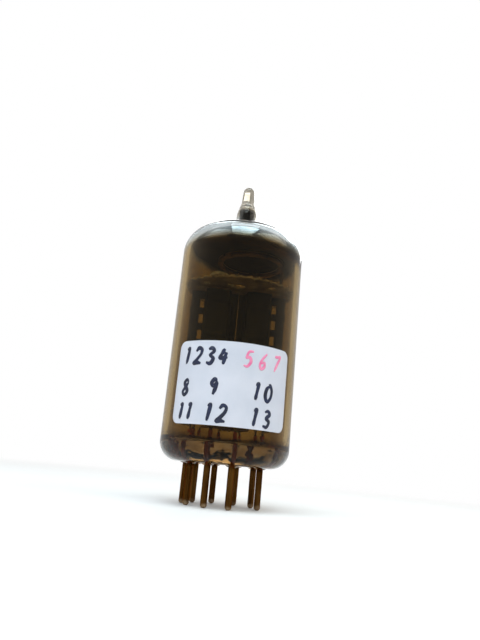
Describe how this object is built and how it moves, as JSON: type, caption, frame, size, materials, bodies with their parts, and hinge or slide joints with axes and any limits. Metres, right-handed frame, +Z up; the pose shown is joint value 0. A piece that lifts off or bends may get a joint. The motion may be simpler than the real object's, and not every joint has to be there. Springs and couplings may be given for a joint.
{
  "type": "dual triode vacuum tube",
  "caption": "Small glass dual triode vacuum tube with a sealed exhaust tip, silvered dome, dark flanged anodes between mica spacers, and rigid base pins.",
  "frame": {"origin": "on the tube's axis at the level of the pin tips", "axes": "+Z up along the tube's axis through the exhaust tip; -Y is the side with the label; the two systems lie side by side along X"},
  "size_m": [0.0208, 0.0209, 0.0555],
  "materials": {
    "bulb_glass": "clear blown soft glass, faintly amber, polished by fire",
    "stem_glass": "clear pressed glass",
    "pin_metal": "hard nickel-iron, dulled and brownish, bright at the rounded tips",
    "copper_sheath": "red copper sheath of the seal wire",
    "anode_grey": "carbonised nickel sheet, dark grey and matt",
    "grid_copper": "copper side rods with fine grey lateral wire",
    "cathode_nickel": "nickel sleeve with a white oxide coat",
    "heater_coating": "white alumina coat on tungsten wire",
    "mica": "thin mica with a whitish sprayed coat",
    "lead_nickel": "drawn nickel wire, satin",
    "getter_metal": "heat-darkened nickel-plated channel",
    "flash_mirror": "dark barium mirror with a brown edge",
    "bright_nickel": "bright nickel ribbon",
    "label_paper": "white self-adhesive paper, matt"
  },
  "bodies": {
    "root": {"glass_bulb": "bulb_glass", "button_stem": "stem_glass", "pin_1": "pin_metal", "pin_2": "pin_metal", "pin_3": "pin_metal", "pin_4": "pin_metal", "pin_5": "pin_metal", "pin_6": "pin_metal", "pin_7": "pin_metal", "pin_8": "pin_metal", "pin_9": "pin_metal", "seal_wire_1": "copper_sheath", "seal_wire_2": "copper_sheath", "seal_wire_3": "copper_sheath", "seal_wire_4": "copper_sheath", "seal_wire_5": "copper_sheath", "seal_wire_6": "copper_sheath", "seal_wire_7": "copper_sheath", "seal_wire_8": "copper_sheath", "seal_wire_9": "copper_sheath", "anode_1_front": "anode_grey", "anode_1_back": "anode_grey", "anode_2_front": "anode_grey", "anode_2_back": "anode_grey", "grid_1": "grid_copper", "grid_2": "grid_copper", "cathode_1": "cathode_nickel", "cathode_2": "cathode_nickel", "heater_1": "heater_coating", "heater_2": "heater_coating", "mica_bottom": "mica", "mica_top": "mica", "lead_1": "lead_nickel", "lead_2": "lead_nickel", "lead_3": "lead_nickel", "lead_4": "lead_nickel", "lead_5": "lead_nickel", "lead_6": "lead_nickel", "lead_7": "lead_nickel", "lead_8": "lead_nickel", "lead_9": "lead_nickel", "getter_ring": "getter_metal", "getter_post": "lead_nickel", "getter_flash": "flash_mirror", "top_strap": "bright_nickel", "label": "label_paper"}
  },
  "joints": []
}
